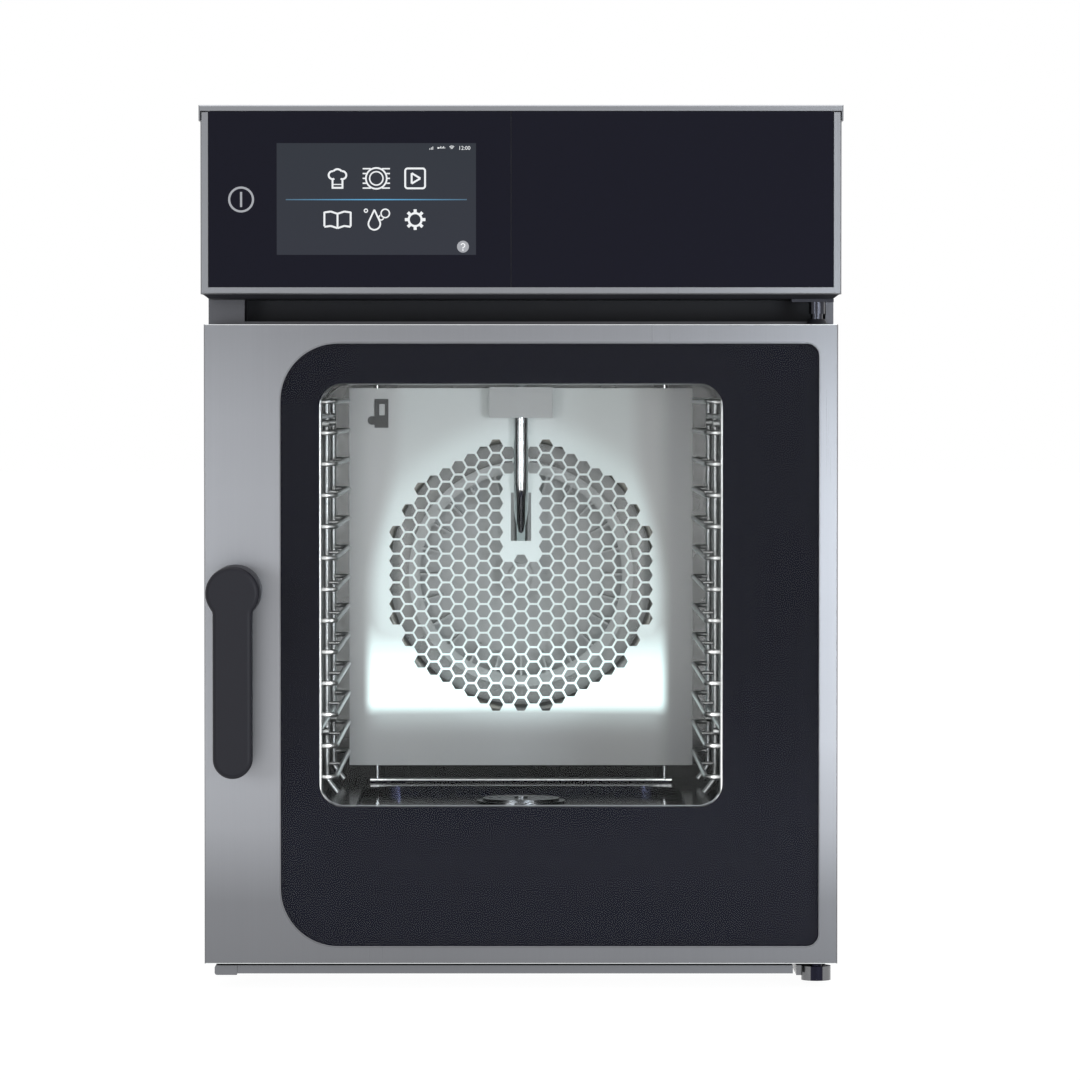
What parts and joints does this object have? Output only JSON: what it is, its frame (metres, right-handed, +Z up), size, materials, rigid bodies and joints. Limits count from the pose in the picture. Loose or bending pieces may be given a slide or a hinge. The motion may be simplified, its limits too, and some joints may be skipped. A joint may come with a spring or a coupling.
{
  "type": "combi steamer oven",
  "caption": "Countertop combi steamer oven with a right-hinged glazed door, lever handle, touch control head, fan, ring heater and wire tray racks.",
  "frame": {"origin": "under the middle of the oven, at the bottom of the feet", "axes": "+Z up, the door faces -Y, +X is to the right of someone facing the door"},
  "size_m": [0.52, 0.7, 0.7138],
  "materials": {
    "brushed_steel": "satin brushed",
    "polished_steel": "electropolished",
    "cavity_steel": "satin",
    "zinc_steel": "zinc plated",
    "black_glass": "gloss back-printed glass",
    "clear_glass": "clear",
    "display_screen": "backlit",
    "black_plastic": "fine matte",
    "handle_plastic": "matte grained",
    "rubber": "matte",
    "silicone": "silicone",
    "mineral_wool": "fibrous",
    "circuit_board": "solder mask",
    "motor_paint": "satin paint",
    "heater_sheath": "heat-tinted",
    "led_lens": "lit",
    "drain_plastic": "matte",
    "valve_plastic": "matte",
    "hose_silicone": "translucent silicone",
    "aluminium": "turned"
  },
  "bodies": {
    "housing": {"base_pan": "zinc_steel", "side_panel_left": "brushed_steel", "side_panel_right": "brushed_steel", "rear_panel": "zinc_steel", "top_cover": "brushed_steel", "feet": "rubber", "panel_screws": "polished_steel", "panel_frame": "brushed_steel", "control_glass_left": "black_glass", "control_glass_right": "black_glass", "panel_carrier": "black_plastic", "display_module": "display_screen", "panel_underside": "black_plastic", "control_board": "circuit_board", "power_board": "circuit_board", "front_frame": "brushed_steel", "recess_panel": "black_plastic", "door_gasket": "silicone", "latch_keeper": "zinc_steel", "drip_tray": "brushed_steel", "drip_tray_end": "brushed_steel", "hinge_top": "polished_steel", "hinge_bottom": "polished_steel", "cavity_shell": "cavity_steel", "insulation": "mineral_wool", "floor_pan": "polished_steel", "drain_pipe": "drain_plastic", "vent_pipe": "zinc_steel", "water_hose": "hose_silicone", "water_valve": "valve_plastic", "cable_gland": "drain_plastic", "baffle": "cavity_steel", "baffle_rods": "polished_steel", "injection_cover": "cavity_steel", "injection_pipe": "polished_steel", "probe_clip": "cavity_steel", "shaft_seal": "silicone", "fan_motor": "motor_paint", "ring_heater": "heater_sheath", "rack_studs": "polished_steel"},
    "door": {"door_frame": "brushed_steel", "door_outer_glass": "clear_glass", "door_mask": "black_glass", "door_inner_panel": "cavity_steel", "door_inner_glass": "clear_glass", "inner_glass_clips": "polished_steel", "led_strips": "led_lens", "door_bush_top": "black_plastic", "door_bush_bottom": "black_plastic", "handle_rosette": "handle_plastic", "lock_case": "zinc_steel"},
    "handle": {"handle_lever": "handle_plastic", "handle_spindle": "zinc_steel", "latch_cam": "zinc_steel"},
    "fan": {"fan_wheel": "cavity_steel", "fan_shaft": "polished_steel", "fan_nut": "polished_steel"},
    "rack_left": {"rack_left": "polished_steel"},
    "rack_right": {"rack_right": "polished_steel"},
    "strainer": {"drain_strainer": "polished_steel"}
  },
  "joints": [
    {"name": "door_swing", "type": "hinge", "parent": "housing", "child": "door", "pos_m": [0.24, -0.256, 0.278], "axis": [0, 0, 1], "range_deg": [0, 170]},
    {"name": "handle_turn", "type": "hinge", "parent": "door", "child": "handle", "pos_m": [-0.23, -0.282, 0.322], "axis": [0, -1, 0], "range_deg": [0, 90]},
    {"name": "fan_spin", "type": "hinge", "parent": "housing", "child": "fan", "pos_m": [0, 0.198, 0.3204], "axis": [0, 1, 0], "continuous": true},
    {"name": "rack_left_lift", "type": "slide", "parent": "housing", "child": "rack_left", "axis": [0, 0, 1], "range_m": [0, 0.005]},
    {"name": "rack_right_lift", "type": "slide", "parent": "housing", "child": "rack_right", "axis": [0, 0, 1], "range_m": [0, 0.005]},
    {"name": "strainer_lift", "type": "slide", "parent": "housing", "child": "strainer", "axis": [0, 0, 1], "range_m": [0, 0.03]}
  ]
}
